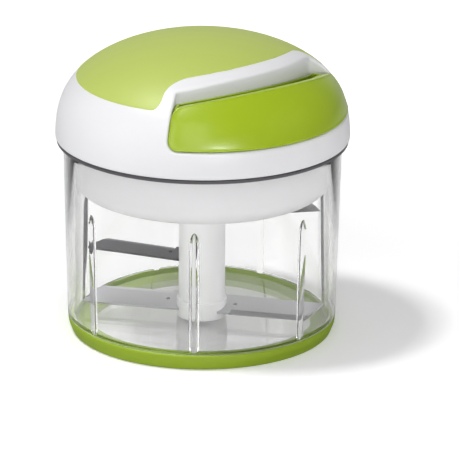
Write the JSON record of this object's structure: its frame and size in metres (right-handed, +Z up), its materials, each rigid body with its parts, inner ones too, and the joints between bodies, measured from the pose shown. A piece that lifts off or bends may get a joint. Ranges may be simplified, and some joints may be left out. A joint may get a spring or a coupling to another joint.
{
  "type": "manual pull cord food chopper",
  "caption": "Hand powered food chopper: clear ribbed bowl on a soft ring, blade column on a centre pin, and a domed lid whose recessed pull handle spins the blades by a recoil cord reel.",
  "frame": {"origin": "centre of the base ring's underside, on the surface that the chopper stands on", "axes": "+Z up along the blade axis, the handle is pulled towards -Y"},
  "size_m": [0.134, 0.134, 0.139],
  "materials": {
    "clear_plastic": "clear moulded SAN, polished",
    "lime_rubber": "soft satin rubber",
    "lime_gloss": "glossy moulded ABS",
    "lime_soft": "soft matt moulded plastic",
    "white_gloss": "satin gloss moulded ABS",
    "white_plastic": "satin moulded plastic",
    "grey_rubber": "matt silicone",
    "grey_plastic": "matt moulded plastic",
    "inner_plastic": "plain moulded plastic",
    "blade_steel": "brushed stainless sheet with ground edges",
    "steel": "plain drawn steel",
    "brass": "turned",
    "cord": "braided polyester cord"
  },
  "bodies": {
    "bowl": {"bowl": "clear_plastic", "base_ring": "lime_rubber", "pivot_pin": "steel"},
    "blades": {"blade_column": "white_plastic", "upper_blade": "blade_steel", "middle_blade": "blade_steel", "lower_blade": "blade_steel"},
    "lid": {"lid_dome": "white_gloss", "top_cover": "lime_soft", "lid_base": "white_plastic", "seal_ring": "grey_rubber", "reel_deck": "inner_plastic", "deck_screws": "steel", "bearing_bush": "brass", "reel_housing": "inner_plastic", "housing_screws": "steel", "spring_tray": "inner_plastic", "recoil_spring": "steel", "cord_guide": "grey_plastic"},
    "drive": {"drive_shaft": "inner_plastic", "ratchet_wheel": "steel", "retaining_clip": "steel"},
    "reel": {"cord_reel": "inner_plastic", "cord_winding": "cord", "pawl_pins": "steel"},
    "pawl_a": {"pawl_a": "steel"},
    "pawl_b": {"pawl_b": "steel"},
    "handle": {"handle_grip": "lime_gloss", "handle_back": "lime_gloss", "handle_screws": "steel", "cord_anchor": "grey_plastic", "cord_lead": "cord"}
  },
  "joints": [
    {"name": "lid_lift", "type": "slide", "parent": "bowl", "child": "lid", "axis": [0, 0, 1], "range_m": [0, 0.11]},
    {"name": "handle_pull", "type": "slide", "parent": "lid", "child": "handle", "axis": [0, -1, 0], "range_m": [0, 0.45], "stiffness_N_per_m": 12, "springref_m": -0.25, "deforming": ["cord_lead"]},
    {"name": "reel_spin", "type": "hinge", "parent": "lid", "child": "reel", "pos_m": [0, 0, 0.108], "axis": [0, 0, -1], "continuous": true},
    {"name": "drive_spin", "type": "hinge", "parent": "lid", "child": "drive", "pos_m": [0, 0, 0.098], "axis": [0, 0, -1], "continuous": true},
    {"name": "blade_spin", "type": "hinge", "parent": "bowl", "child": "blades", "pos_m": [0, 0, 0.015], "axis": [0, 0, -1], "continuous": true},
    {"name": "pawl_a_swing", "type": "hinge", "parent": "reel", "child": "pawl_a", "pos_m": [0.00919, 0.00771, 0.1055], "axis": [0, 0, 1], "range_deg": [0, 10]},
    {"name": "pawl_b_swing", "type": "hinge", "parent": "reel", "child": "pawl_b", "pos_m": [-0.00919, -0.00771, 0.1055], "axis": [0, 0, 1], "range_deg": [0, 10]}
  ],
  "couplings": [
    {"joint": "reel_spin", "follows": "handle_pull", "rad_per_m": 46.5},
    {"joint": "drive_spin", "follows": "handle_pull", "rad_per_m": 46.5},
    {"joint": "blade_spin", "follows": "handle_pull", "rad_per_m": 46.5},
    {"joint": "pawl_b_swing", "follows": "pawl_a_swing", "ratio": 1}
  ]
}
